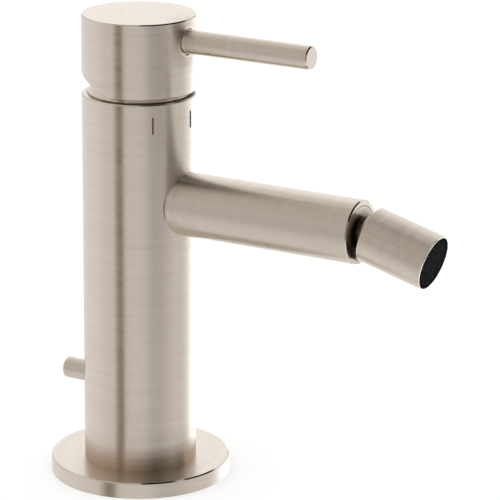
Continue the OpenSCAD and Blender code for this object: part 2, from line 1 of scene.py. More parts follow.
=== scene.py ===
# %% [markdown]
# # A bidet mixer in brushed nickel
#
# The shapes of this tap come from a CAD model: a column on a flange, a spout with a swivelling outlet,
# a lever in a round cap and a small knob that works the waste. Blender adds what a CAD file lacks: how
# each surface was finished, what the light does on it, and the fine cells of the outlet that water runs
# through. We start by loading the model, because every later piece is measured from it. All lengths in
# this lesson are metres.

# %% Load the model
import math
import bmesh
import bpy
from mathutils import Matrix, Vector


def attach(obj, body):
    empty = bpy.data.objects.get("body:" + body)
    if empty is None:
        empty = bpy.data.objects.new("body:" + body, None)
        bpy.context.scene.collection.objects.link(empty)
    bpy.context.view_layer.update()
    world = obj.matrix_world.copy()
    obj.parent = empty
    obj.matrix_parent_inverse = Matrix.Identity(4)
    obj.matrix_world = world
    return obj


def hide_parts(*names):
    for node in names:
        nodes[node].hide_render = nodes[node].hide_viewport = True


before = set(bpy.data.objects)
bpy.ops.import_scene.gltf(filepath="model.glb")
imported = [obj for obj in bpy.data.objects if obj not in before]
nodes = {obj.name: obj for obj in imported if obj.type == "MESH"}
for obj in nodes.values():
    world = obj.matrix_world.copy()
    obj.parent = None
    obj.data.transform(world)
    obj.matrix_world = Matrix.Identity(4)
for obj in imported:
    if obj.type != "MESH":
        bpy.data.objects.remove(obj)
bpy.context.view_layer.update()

# %% [markdown]
# ## The camera
#
# The tap is seen from its left front, a little from above, through a long lens, so that the column's
# edges stay nearly parallel. A camera can be aimed with a constraint or by hand. Here its three axes are
# worked out from two angles and a small roll, because then the numbers say exactly where we stand.

# %% Place the camera
TURN, RISE, ROLL = (math.radians(angle) for angle in (-60.309, 16.857, 0.415))
EYE = Vector((-0.7363, -0.4591, 0.3345))
SENSOR_WIDTH_MM = 36
PICTURE_WIDTH_PX = 500
FOCAL_LENGTH_PX = 2926.1

right = Vector((math.cos(TURN), math.sin(TURN), 0))
back = Vector((math.sin(TURN) * math.cos(RISE), -math.cos(TURN) * math.cos(RISE), math.sin(RISE)))
up = back.cross(right)
rolled_right = math.cos(ROLL) * right + math.sin(ROLL) * up
rolled_up = math.cos(ROLL) * up - math.sin(ROLL) * right

lens = bpy.data.cameras.new("long_lens")
lens.sensor_width = SENSOR_WIDTH_MM
lens.lens = SENSOR_WIDTH_MM * FOCAL_LENGTH_PX / PICTURE_WIDTH_PX
camera = bpy.data.objects.new("camera", lens)
bpy.context.scene.collection.objects.link(camera)
camera.matrix_world = Matrix((rolled_right, rolled_up, back)).transposed().to_4x4()
camera.location = EYE
bpy.context.scene.camera = camera
print("lens:", round(lens.lens, 1), "mm, distance:", round(EYE.length, 3), "m")

# %% [markdown]
# ## Helpers for node trees
#
# Every material of the tap is a tree of nodes. They can be placed and joined with the mouse, and in a script
# each node and each link would be a line of its own. Two helpers shorten that: one adds a node and fills its
# sockets with values or with other sockets, the other starts an empty material.

# %% Write the helpers
def put(tree, value, socket):
    """Links a socket to another one, or gives it a plain value."""
    if isinstance(value, bpy.types.NodeSocket):
        tree.links.new(value, socket)
    else:
        socket.default_value = value


def add(tree, kind, *in_order, **named):
    """Adds a node. Words in small letters are its settings, words with a capital are its inputs."""
    node = tree.nodes.new(kind)
    for name, value in named.items():
        if name[0].islower():
            setattr(node, name, value)
    open_sockets = [socket for socket in node.inputs if socket.enabled]
    for value, socket in zip(in_order, open_sockets):
        put(tree, value, socket)
    for name, value in named.items():
        if name[0].isupper():
            put(tree, value, node.inputs[name.replace("_", " ")])
    return node


def new_material(name):
    """A material and its empty tree."""
    material = bpy.data.materials.new(name)
    material.use_nodes = True
    material.node_tree.nodes.clear()
    return material, material.node_tree


print("helpers:", [helper.__name__ for helper in (put, add, new_material)])

# %% [markdown]
# ## The floor
#
# The tap stands on a pale sheet, and only a soft shadow tells where it touches. Blender's own plane would
# do. We make the face from its corners, because the cards of a later step are such sheets too. The paper
# glows a little by itself, which keeps it pale all round the tap.

# %% Lay the floor
FLOOR_REACH = 6
PAPER_GREY = (0.5, 0.5, 0.5, 1)
PAPER_GLOW = 0.56


def sheet(name, corners):
    """A rectangle with a plain UV map from 0 to 1."""
    mesh = bpy.data.meshes.new(name)
    mesh.from_pydata(corners, [], [(0, 1, 2, 3)])
    layer = mesh.uv_layers.new(name="UVMap")
    for loop, uv in zip(layer.data, ((0, 0), (1, 0), (1, 1), (0, 1))):
        loop.uv = uv
    piece = bpy.data.objects.new(name, mesh)
    bpy.context.scene.collection.objects.link(piece)
    return piece


def floor_paper():
    """Matt paper with a faint glow."""
    material, tree = new_material("floor_paper")
    matt = add(tree, "ShaderNodeBsdfDiffuse", Color=PAPER_GREY)
    glow = add(tree, "ShaderNodeEmission", Strength=PAPER_GLOW)
    both = add(tree, "ShaderNodeAddShader", matt.outputs[0], glow.outputs[0])
    add(tree, "ShaderNodeOutputMaterial", Surface=both.outputs[0])
    return material


floor_corners = [(x * FLOOR_REACH, y * FLOOR_REACH, 0) for x, y in ((-1, -1), (1, -1), (1, 1), (-1, 1))]
floor = sheet("floor", floor_corners)
floor.data.materials.append(floor_paper())
floor.visible_glossy = False
print("floor:", 2 * FLOOR_REACH, "m wide")

# %% [markdown]
# ## Daylight
#
# The world is a plain white, so every colour renders about as it is written. A picture of a sky or some
# lamps would light the tap too, but they draw their own shapes on it. Metal is different from the rest: it
# shows its surroundings like a mirror, and an all-white room would leave it without shape. So the world
# takes care of the soft light only, and the next steps build what the metal sees.

# %% Light the world
WHITE = (1, 1, 1, 1)
world = bpy.data.worlds.new("white_room")
world.use_nodes = True
sky = world.node_tree.nodes["Background"]
sky.inputs["Color"].default_value = WHITE
sky.inputs["Strength"].default_value = 1
bpy.context.scene.world = world
bpy.context.scene.view_settings.view_transform = "Standard"
print("world:", world.name)

# %% [markdown]
# ## The tent
#
# A photographer stands metal in a tent of grey cloth, so that it mirrors nothing else. Ours is a large
# sphere whose cloth is darkest at the horizon. A gradient in the world would look the same, but a sphere can
# be hidden from all rays except reflections, and so it throws no light or shadow on the floor.

# %% Hang the tent
TENT_RADIUS = 4
CLOTH_LOW, CLOTH_HORIZON, CLOTH_ROOF = (0.915, 0.91, 0.91), (0.69, 0.675, 0.655), (0.85, 0.83, 0.80)
LOW_STOP, HORIZON_STOP, ROOF_STOP = 0.2, 0.52, 0.9


def vectors(tree, operation, *values):
    """One step of arithmetic on vectors. A length or a dot product gives a number."""
    node = add(tree, "ShaderNodeVectorMath", *values, operation=operation)
    return node.outputs["Value" if operation in ("LENGTH", "DOT_PRODUCT") else "Vector"]


def tent_cloth():
    """Grey cloth whose brightness goes from the floor over the horizon to the roof."""
    material, tree = new_material("tent_cloth")
    place = add(tree, "ShaderNodeTexCoord").outputs["Object"]
    upwards = add(tree, "ShaderNodeSeparateXYZ", vectors(tree, "NORMALIZE", place)).outputs["Z"]
    height = add(tree, "ShaderNodeMapRange", Value=upwards, From_Min=-1)
    ramp = add(tree, "ShaderNodeValToRGB", Fac=height.outputs[0])
    ramp.color_ramp.interpolation = "EASE"
    stops = ramp.color_ramp.elements
    stops[0].position, stops[0].color = LOW_STOP, (*CLOTH_LOW, 1)
    stops[1].position, stops[1].color = ROOF_STOP, (*CLOTH_ROOF, 1)
    stops.new(HORIZON_STOP).color = (*CLOTH_HORIZON, 1)
    glow = add(tree, "ShaderNodeEmission", Color=ramp.outputs["Color"])
    add(tree, "ShaderNodeOutputMaterial", Surface=glow.outputs[0])
    return material


def only_in_reflections(piece):
    """Hides a piece of the stage from all rays but those that leave a shiny surface."""
    piece.visible_camera = False
    piece.visible_diffuse = False
    piece.visible_shadow = False
    piece.visible_transmission = False


shell = bmesh.new()
bmesh.ops.create_uvsphere(shell, u_segments=64, v_segments=32, radius=TENT_RADIUS)
tent = bpy.data.objects.new("tent", bpy.data.meshes.new("tent"))
shell.to_mesh(tent.data)
shell.free()
bpy.context.scene.collection.objects.link(tent)
tent.data.materials.append(tent_cloth())
only_in_reflections(tent)
print("tent:", len(tent.data.polygons), "faces")

# %% [markdown]
# ## How a card is made
#
# Inside the tent, cards draw the shape of the metal, because each one shows as a stripe on a cylinder. Lamps
# could do this too, but a card is easier to aim: two angles say where it hangs, two more how large it looks
# from the tap, and four how softly its edges end. A soft edge is a smooth fade from the card to clear air.

# %% Write the rule for a card
CARD_DISTANCE = 2.0
TAP_MIDDLE = Vector((0, 0, 0.08))


def maths(tree, operation, *values):
    """One step of arithmetic on numbers."""
    return add(tree, "ShaderNodeMath", *values, operation=operation).outputs[0]


def card_sheet(name, azimuth, elevation, wide, tall):
    """A sheet that faces the tap from two angles, and whose size is two angles too."""
    a, e = math.radians(azimuth), math.radians(elevation)
    outwards = Vector((math.sin(a) * math.cos(e), -math.cos(a) * math.cos(e), math.sin(e)))
    across = Vector((math.cos(a), math.sin(a), 0))
    upwards = across.cross(-outwards)
    middle = TAP_MIDDLE + CARD_DISTANCE * outwards
    w = CARD_DISTANCE * math.tan(math.radians(wide / 2)) * across
    h = CARD_DISTANCE * math.tan(math.radians(tall / 2)) * upwards
    return sheet(name, [middle - w - h, middle + w - h, middle + w + h, middle - w + h])


def card_glow(name, wide, tall, colour, fades):
    """A glow that fades to clear at the left, right, lower and upper edge."""
    material, tree = new_material(name)
    place = add(tree, "ShaderNodeSeparateXYZ", add(tree, "ShaderNodeUVMap").outputs[0]).outputs
    cover = 1
    for axis, edge, size, fade in zip("XXYY", (0, 1, 0, 1), (wide, wide, tall, tall), fades):
        inwards = 1 - 2 * edge
        ramp = add(tree, "ShaderNodeMapRange", interpolation_type="SMOOTHSTEP", Value=place[axis],
                   From_Min=edge, From_Max=edge + inwards * fade / size)
        cover = maths(tree, "MULTIPLY", ramp.outputs[0], cover)
    strength = max(colour)
    clear = add(tree, "ShaderNodeBsdfTransparent")
    glow = add(tree, "ShaderNodeEmission", Color=(*[c / strength for c in colour], 1), Strength=strength)
    mix = add(tree, "ShaderNodeMixShader", cover, clear.outputs[0], glow.outputs[0])
    add(tree, "ShaderNodeOutputMaterial", Surface=mix.outputs[0])
    return material


def card(name, azimuth, elevation, wide, tall, colour, fades):
    """A card in the tent. All angles and fades are in degrees, as seen from the tap."""
    piece = card_sheet(name, azimuth, elevation, wide, tall)
    piece.data.materials.append(card_glow(name, wide, tall, colour, fades))
    only_in_reflections(piece)


print("cards hang", CARD_DISTANCE, "m from the tap")

# %% [markdown]
# ## White and black cards
#
# The column mirrors what stands round it at its own height: a dark slit on the left draws its thin dark
# line, a grey card in front the shade right of its middle, and white ones its pale sides and the bright
# right edge. Faces that look up, as the flange and the cap's top, see the far softbox. The upper side of
# spout and lever sees a grey card above, and bevels that look up and forward see the dark one. One big lamp
# would be quicker, but it couldn't give each form its own stripe.

# %% Hang the cards
card("dark_slit", azimuth=-102, elevation=-15, wide=24, tall=110,
     colour=(0.26, 0.22, 0.17), fades=(12, 3.5, 10, 10))
card("front_grey", azimuth=-20, elevation=3, wide=70, tall=54,
     colour=(0.275, 0.26, 0.265), fades=(27, 35, 18, 12))
card("front_dark", azimuth=-15, elevation=54, wide=137, tall=72,
     colour=(0.002, 0.002, 0.001), fades=(39, 26, 13, 14))
card("left_white", azimuth=168, elevation=-15, wide=124, tall=90,
     colour=(0.94, 0.935, 0.95), fades=(40, 40, 40, 40))
card("strip_light", azimuth=90, elevation=-32.5, wide=77, tall=49,
     colour=(2.2, 2.4, 2.55), fades=(36, 25, 15, 6))
card("far_softbox", azimuth=114, elevation=16, wide=49, tall=97,
     colour=(1.19, 1.20, 1.21), fades=(20, 16, 10, 39))
card("upper_left_grey", azimuth=-105, elevation=58, wide=86, tall=67,
     colour=(0.56, 0.53, 0.50), fades=(40, 13, 11, 20))
card("right_white", azimuth=66, elevation=8, wide=60, tall=50,
     colour=(1.0, 1.0, 1.0), fades=(14, 14, 10, 10))

# %% [markdown]
# ## Lathe coordinates
#
# The tap is turned on a lathe and brushed while it spins, so each piece carries fine rings round its own
# axis. Rings that run round a cylinder blur what it mirrors along the axis, and leave it sharp across. In
# Blender this is the anisotropy of the metal, and it needs a direction: the tangent. Blender can make a
# tangent from a UV map, but then each CAD piece would have to be unwrapped. The node group below works it
# out for any axis, with all that a lathe knows of a point: how far along and how far out it is, how much its
# face is side or end, and coordinates in which a noise becomes rings.

# %% Build the lathe coordinates
RING_LENGTH = 40


def lathe_group():
    """A point's place on a lathe, from the centre and the direction of the axis."""
    group = bpy.data.node_groups.new("lathe_coordinates", "ShaderNodeTree")
    for in_out, kind, names in (("INPUT", "Vector", ("Centre", "Axis")),
                                ("OUTPUT", "Vector", ("Rings", "Turning")),
                                ("OUTPUT", "Float", ("Along", "Radius", "Distance", "Side", "Facing"))):
        for name in names:
            group.interface.new_socket(name=name, in_out=in_out, socket_type="NodeSocket" + kind)
    given = add(group, "NodeGroupInput").outputs
    axis = given["Axis"]
    place = add(group, "ShaderNodeTexCoord").outputs["Object"]
    from_centre = vectors(group, "SUBTRACT", place, given["Centre"])
    along = vectors(group, "DOT_PRODUCT", from_centre, axis)
    radial = vectors(group, "SUBTRACT", from_centre, vectors(group, "SCALE", axis, along))
    radius = vectors(group, "LENGTH", radial)
    # Coordinates squeezed across the axis stretch a noise into rings, far longer than wide
    squeezed = vectors(group, "SCALE", radial, 1 / RING_LENGTH)
    track = vectors(group, "SCALE", axis, maths(group, "ADD", along, radius))
    turn = add(group, "ShaderNodeVectorTransform", vectors(group, "CROSS_PRODUCT", axis, radial),
               vector_type="VECTOR", convert_from="OBJECT", convert_to="WORLD")
    # A face that looks along the axis has no side, a cylinder's skin is all side
    normal = add(group, "ShaderNodeVectorTransform", add(group, "ShaderNodeNewGeometry").outputs["Normal"],
                 vector_type="NORMAL", convert_from="WORLD", convert_to="OBJECT")
    facing = vectors(group, "DOT_PRODUCT", normal.outputs[0], axis)
    side = maths(group, "MULTIPLY_ADD", facing, maths(group, "MULTIPLY", facing, -1), 1)
    add(group, "NodeGroupOutput", Rings=vectors(group, "ADD", squeezed, track),
        Turning=vectors(group, "NORMALIZE", turn.outputs[0]), Along=along, Radius=radius,
        Distance=vectors(group, "LENGTH", from_centre), Side=side, Facing=facing)
    return group


lathe_coordinates = lathe_group()
print("lathe coordinates:", len(lathe_coordinates.nodes), "nodes")

# %% [markdown]
# ## Rings
#
# The column, the spout, the lever, the knob and the outlet were each turned alone, so each has an axis of
# its own. On every axis a noise in lathe coordinates makes the rings. A photograph of brushed steel would
# do too, but it has to be laid round each piece and it repeats.

# %% Name the axes and make the rings
SPOUT_HEIGHT = 0.0889
LEVER_HEIGHT = 0.1396
KNOB_HEIGHT = 0.0286
BALL_CENTRE = (0, -0.0801, SPOUT_HEIGHT)
OUTLET_SLOPE = math.radians(15.2)
UPRIGHT = ((0, 0, 0), (0, 0, 1))
SPOUT_AXIS = ((0, 0, SPOUT_HEIGHT), (0, -1, 0))
LEVER_AXIS = ((0, 0, LEVER_HEIGHT), (0, -1, 0))
KNOB_AXIS = ((0, 0, KNOB_HEIGHT), (0, 1, 0))
OUTLET_AXIS = (BALL_CENTRE, (0, -math.cos(OUTLET_SLOPE), -math.sin(OUTLET_SLOPE)))
# Most of a noise lies between these two values
NOISE_LOW, NOISE_HIGH = 0.3, 0.7


def on_lathe(tree, axis):
    """The lathe coordinates about an axis, which is a centre and a direction."""
    centre, direction = axis
    return add(tree, "ShaderNodeGroup", node_tree=lathe_coordinates, Centre=centre, Axis=direction).outputs


def ring_noise(tree, rings, pitch):
    """A noise whose rings lie about one pitch apart."""
    scaled = vectors(tree, "SCALE", rings, 1 / pitch)
    noise = add(tree, "ShaderNodeTexNoise", Vector=scaled, Scale=1, Detail=1, Roughness=0.6)
    return noise.outputs["Fac"]


def to_range(tree, noise, low, high):
    """Stretches a noise over a range, with soft ends."""
    node = add(tree, "ShaderNodeMapRange", interpolation_type="SMOOTHSTEP", Value=noise,
               From_Min=NOISE_LOW, From_Max=NOISE_HIGH, To_Min=low, To_Max=high)
    return node.outputs[0]


print("slope of the outlet:", round(math.degrees(OUTLET_SLOPE), 1), "degrees")

# %% [markdown]
# ## Painted shade and painted highlights
#
# The metal is darkened and browned by painted shade in narrow gaps, a little above the flange and round
# the lever's root, and a few edges get painted highlights. They could be painted on each piece. Here each of
# them is a tint that finds its own place: one kind by a length in lathe coordinates, the other by the
# ambient occlusion node, which tells how much is open round a point.

# %% Write the tints
def tinted(tree, colour, value, none, full, tint):
    """Multiplies a colour by a tint: not at all where a value is none, wholly where it is full."""
    cover = add(tree, "ShaderNodeMapRange", interpolation_type="SMOOTHSTEP", Value=value,
                From_Min=none, From_Max=full)
    mix = add(tree, "ShaderNodeMix", data_type="RGBA", blend_type="MULTIPLY",
              Factor=cover.outputs[0], A=colour, B=(*tint, 1))
    return mix.outputs["Result"]


def painted_light_band(axis, measure, centre, none, full, tint):
    """Painted shade or highlight: a tint that depends on how far a lathe coordinate is from a centre."""
    def apply(tree, colour):
        apart = maths(tree, "SUBTRACT", on_lathe(tree, axis)[measure], centre)
        return tinted(tree, colour, maths(tree, "ABSOLUTE", apart), none, full, tint)
    return apply


def occlusion_shade(reach, none, full, tint, within=1):
    """Painted shade: a tint where little is open within reach, and only within a radius of the upright axis.
    """
    def apply(tree, colour):
        openness = add(tree, "ShaderNodeAmbientOcclusion", Distance=reach).outputs["AO"]
        beyond = maths(tree, "GREATER_THAN", on_lathe(tree, UPRIGHT)["Radius"], within)
        return tinted(tree, colour, maths(tree, "MAXIMUM", openness, beyond), none, full, tint)
    return apply


print("kinds of tint:", [kind.__name__ for kind in (painted_light_band, occlusion_shade)])

# %% [markdown]
# ## A turned metal
#
# The metal is a warm grey. Two noises, one of fine and one of wider rings, shift its brightness by a few per
# cent, make it a little rougher here and there, and press shallow scratches into it. Real grooves are too
# fine to model, so bump and anisotropy stand for them. One function makes the metal for any axis, because
# nickel and brass come from the same lathe.

# %% Write the turned metal
FINE_PITCH, WIDE_PITCH = 0.0007, 0.0018
ROUGHNESS_SPREAD = 0.1
EDGE_WEAR = 1.3
# A quarter turn of the blur sets it square to the tangent
QUARTER_TURN = 0.25


def ring_tone(tree, lathe, noise, colour, contrast):
    """The metal's colour, in lighter and darker rings on the skin and even on a faced end."""
    dark = (*[c * (1 - contrast) for c in colour], 1)
    light = (*[c * (1 + contrast) for c in colour], 1)
    share = add(tree, "ShaderNodeMix", Factor=lathe["Side"], A=0.5, B=to_range(tree, noise, 0, 1))
    tone = add(tree, "ShaderNodeMix", data_type="RGBA", Factor=share.outputs["Result"], A=dark, B=light)
    return tone.outputs["Result"]


def worn_roughness(tree, lathe, noise, rough, edge_wear):
    """An uneven roughness. A bevel at an outer end, halfway between skin and end, is rubbed smoother."""
    bevel = maths(tree, "PINGPONG", lathe["Side"], 0.5)
    outer = maths(tree, "GREATER_THAN", lathe["Facing"], 0)
    worn = maths(tree, "MULTIPLY_ADD", maths(tree, "MULTIPLY", bevel, outer), -edge_wear, 1)
    uneven = to_range(tree, noise, rough * (1 - ROUGHNESS_SPREAD), rough * (1 + ROUGHNESS_SPREAD))
    return maths(tree, "MULTIPLY", worn, uneven)


def turned_metal(name, axis, colour, rough, stretch, ring_contrast, ring_depth, tints=(),
                 edge_wear=EDGE_WEAR):
    """A metal turned and brushed about an axis, with its tints."""
    material, tree = new_material(name)
    lathe = on_lathe(tree, axis)
    fine, wide = (ring_noise(tree, lathe["Rings"], pitch) for pitch in (FINE_PITCH, WIDE_PITCH))
    blend = maths(tree, "MULTIPLY_ADD", wide, 0.5, maths(tree, "MULTIPLY", fine, 0.5))
    tone = ring_tone(tree, lathe, blend, colour, ring_contrast)
    for tint in tints:
        tone = tint(tree, tone)
    scratches = add(tree, "ShaderNodeBump", Height=fine, Distance=ring_depth)
    metal = add(tree, "ShaderNodeBsdfPrincipled", Metallic=1, Base_Color=tone,
                Roughness=worn_roughness(tree, lathe, wide, rough, edge_wear),
                Anisotropic=maths(tree, "MULTIPLY", lathe["Side"], stretch),
                Anisotropic_Rotation=QUARTER_TURN,
                Tangent=lathe["Turning"], Normal=scratches.outputs[0])
    add(tree, "ShaderNodeOutputMaterial", Surface=metal.outputs[0])
    return material


print("rings in mm:", 1000 * FINE_PITCH, "and", 1000 * WIDE_PITCH)

# %% [markdown]
# ## Brushed nickel on the outer pieces
#
# All that a hand meets is nickel, brushed with the same wheel, so one function sets its values and each
# piece adds its axis and its tints. A single material for all would be shorter, but then the rings of the
# spout would run round the column. Painted shade darkens the gap under the cap, on the column and at the
# dome's foot, a little of the column above the flange and the cap round the lever's root, and painted
# highlights brighten a few edges. The column's edges under the cap are never rubbed, so they have no wear.

# %% Brush the nickel
NICKEL = (0.70, 0.625, 0.545)
LEVER_ROOT = ((0, -0.0172, LEVER_HEIGHT), (0, -1, 0))


def brushed_nickel(name, axis, ring_contrast, *tints, edge_wear=EDGE_WEAR):
    """The finish of the outer pieces."""
    return turned_metal(name, axis, NICKEL, rough=0.30, stretch=0.9, ring_contrast=ring_contrast,
                        ring_depth=0.000004, tints=tints, edge_wear=edge_wear)


def finish(material, *names):
    """Puts a material on CAD nodes."""
    for name in names:
        nodes[name].data.materials.clear()
        nodes[name].data.materials.append(material)
    print(material.name, "on", *names)


# Painted shade, dark brown: in the gap under the cap, at the dome's foot in that gap, a little above the
# flange, and round the lever's root.
cap_gap_shade = occlusion_shade(reach=0.003, none=0.85, full=0.55, tint=(0.03, 0.022, 0.016), within=0.01695)
column_foot_shade = painted_light_band(UPRIGHT, "Along", centre=0.005, none=0.009, full=0, tint=(0.74, 0.66, 0.58))
dome_foot_shade = painted_light_band(UPRIGHT, "Along", centre=0.1219, none=0.00045, full=0.0002, tint=(0.34, 0.27, 0.20))
root_shade = painted_light_band(LEVER_ROOT, "Distance", centre=0, none=0.011, full=0.005, tint=(0.82, 0.80, 0.78))
# Painted highlights: the rim of the recess round the lever, the lever's root and the sleeve's rear edge.
root_rim_highlight = painted_light_band(LEVER_ROOT, "Distance", centre=0, none=0.0047, full=0.0045, tint=(1.45, 1.52, 1.6))
rod_root_highlight = painted_light_band(LEVER_ROOT, "Along", centre=0, none=0.0012, full=0.0008, tint=(1.25, 1.25, 1.25))
sleeve_edge_highlight = painted_light_band(OUTLET_AXIS, "Along", centre=0, none=0.0006, full=0.0004, tint=(1.3, 1.3, 1.3))

finish(brushed_nickel("nickel_upright", UPRIGHT, 0.03), "base_flange")
finish(brushed_nickel("nickel_dome", UPRIGHT, 0.03, dome_foot_shade), "dome_cover")
finish(brushed_nickel("nickel_column", UPRIGHT, 0.045, cap_gap_shade, column_foot_shade, edge_wear=0), "body_column")
finish(brushed_nickel("nickel_cap", UPRIGHT, 0.055, root_shade, root_rim_highlight), "lever_cap")
finish(brushed_nickel("nickel_spout", SPOUT_AXIS, 0.022), "spout_tube")
finish(brushed_nickel("nickel_lever", LEVER_AXIS, 0.025, rod_root_highlight), "lever_rod")
finish(brushed_nickel("nickel_knob", KNOB_AXIS, 0.02), "popup_knob")
finish(brushed_nickel("nickel_outlet", OUTLET_AXIS, 0.02, sleeve_edge_highlight), "outlet_sleeve")

# %% [markdown]
# ## The collar, the ball and the brass
#
# The collar in the spout's end was faced with a fine tool, and the ball was polished so that the outlet
# swings freely. Both are smoother than the brushed skin round them, and both get painted shade where the
# sleeve leaves only a slit open. The screws and rods inside are plain turned brass. New materials could be
# built for them, but all are the same turned metal with other values.

# %% Face the collar, polish the ball and turn the brass
BRASS = (0.72, 0.50, 0.22)
SLIT_REACH = 0.010
# Painted shade where the sleeve leaves only a slit open before the collar and the ball.
collar_slit_shade = occlusion_shade(SLIT_REACH, none=0.68, full=0.3, tint=(0.2, 0.16, 0.125))
ball_slit_shade = occlusion_shade(SLIT_REACH, none=0.9, full=0.2, tint=(0.15, 0.115, 0.09))


def turned_brass(name, axis):
    """Brass as it leaves the lathe, with coarser rings than the nickel."""
    return turned_metal(name, axis, BRASS, rough=0.32, stretch=0.6, ring_contrast=0.06, ring_depth=0.00001)


finish(turned_metal("faced_collar", SPOUT_AXIS, NICKEL, rough=0.29, stretch=0.6, ring_contrast=0.02,
                    ring_depth=0.000002, tints=[collar_slit_shade]), "ball_collar")
finish(turned_metal("polished_ball", SPOUT_AXIS, NICKEL, rough=0.22, stretch=0.3, ring_contrast=0.02,
                    ring_depth=0.000002, tints=[ball_slit_shade]), "ball_stud")
finish(turned_brass("turned_brass", UPRIGHT),
       "pivot_pin", "lever_stem", "cartridge_nut", "grub_screw", "popup_rod")
finish(turned_brass("turned_brass_stem", OUTLET_AXIS), "retaining_stem")

# %% [markdown]
# ## How a moulded material is made
#
# Moulded parts have a faint grain from the mould, and rubber a dusty, uneven bloom. Separate textures could
# give colour, roughness and surface. A single noise in object coordinates gives all three, and so they
# change together as on a real skin.

# %% Write the moulded material
GRAIN_DETAIL = 3
GRAIN_ROUGHNESS_SPREAD = 0.15
PLAIN_SHINE = 0.5


def moulded(name, colour, rough, grain, spread, depth, shine=PLAIN_SHINE):
    """A plastic, rubber, ceramic or enamel with a fine grain. The shine is a number or a rule for a tree."""
    material, tree = new_material(name)
    place = add(tree, "ShaderNodeTexCoord").outputs["Object"]
    speckle = add(tree, "ShaderNodeTexNoise", Vector=place, Scale=1 / grain, Detail=GRAIN_DETAIL)
    noise = speckle.outputs["Fac"]
    dark = (*[c * (1 - spread) for c in colour], 1)
    light = (*[min(1, c * (1 + spread)) for c in colour], 1)
    tone = add(tree, "ShaderNodeMix", data_type="RGBA", Factor=to_range(tree, noise, 0, 1), A=dark, B=light)
    smoothest, roughest = rough * (1 - GRAIN_ROUGHNESS_SPREAD), rough * (1 + GRAIN_ROUGHNESS_SPREAD)
    bump = add(tree, "ShaderNodeBump", Height=noise, Distance=depth)
    body = add(tree, "ShaderNodeBsdfPrincipled", Base_Color=tone.outputs["Result"],
               Roughness=to_range(tree, noise, smoothest, roughest), Normal=bump.outputs[0],
               Specular_IOR_Level=shine(tree) if callable(shine) else shine)
    add(tree, "ShaderNodeOutputMaterial", Surface=body.outputs[0])
    return material


print("shine of a moulded piece:", PLAIN_SHINE)

# %% [markdown]
# ## Plastics, rubber, ceramic and enamel
#
# The cartridge is white plastic round two lapped ceramic discs, the seals are rubber, the two marks are
# enamel in shallow grooves, and the outlet's insert is black plastic. The enamel hardly shines. The outlet's
# grid is wiped often, so its middle shines a little more than its edge, and the housing behind it is matt.
# One image could hold all these colours, but values in the script are easier to change.

# %% Mould the plastics, the seals and the marks
WIPED_RADIUS, DULL_RADIUS = 0.0060, 0.0068
WIPED_SHINE = 0.03
ENAMEL_SHINE = 0.1


def wiped_shine(tree):
    """Shine in the middle of the grid and none at its rim."""
    radius = on_lathe(tree, OUTLET_AXIS)["Radius"]
    return add(tree, "ShaderNodeMapRange", Value=radius, From_Min=WIPED_RADIUS, From_Max=DULL_RADIUS,
               To_Min=WIPED_SHINE, To_Max=0).outputs[0]


black_grid = moulded("black_grid", (0.010, 0.010, 0.011), rough=0.5, grain=0.0004, spread=0.2,
                     depth=0.000006, shine=wiped_shine)
finish(moulded("black_plastic", (0.007, 0.007, 0.008), rough=0.6, grain=0.0004, spread=0.2,
               depth=0.000006, shine=0), "aerator_housing", "aerator_screen")
finish(moulded("sealing_rubber", (0.025, 0.025, 0.026), rough=0.75, grain=0.0006, spread=0.3,
               depth=0.00002), "base_gasket", "spout_seal", "aerator_washer", "port_seals")
finish(moulded("white_plastic", (0.78, 0.75, 0.68), rough=0.4, grain=0.0008, spread=0.03,
               depth=0.000005), "seat_ring", "friction_ring", "cartridge_housing", "disc_carrier",
       "cartridge_rotor", "popup_bush")
finish(moulded("lapped_ceramic", (0.84, 0.83, 0.79), rough=0.2, grain=0.0015, spread=0.02,
               depth=0.000002), "fixed_disc", "moving_disc")
finish(moulded("red_enamel", (0.10, 0.014, 0.012), rough=0.5, grain=0.0005, spread=0.1,
               depth=0.000004, shine=ENAMEL_SHINE), "hot_mark")
finish(moulded("blue_enamel", (0.008, 0.010, 0.045), rough=0.5, grain=0.0005, spread=0.1,
               depth=0.000004, shine=ENAMEL_SHINE), "cold_mark")

# %% [markdown]
# ## The honeycomb in the outlet
#
# The water leaves through a black plastic grid, which straightens the jet. Its cells are moulded on pins
# that taper to leave the mould, so each cell is wider at its mouth. Cutting some hundred cells by hand would
# be slow, and the pattern follows a rule, so Geometry Nodes makes it. The first part of the rule says where
# the cells stand: on rows of points, each odd row moved by half a pitch, as long as they lie well inside the
# rim.

# %% Find the places of the cells
ROW_STEP = math.sqrt(3) / 2


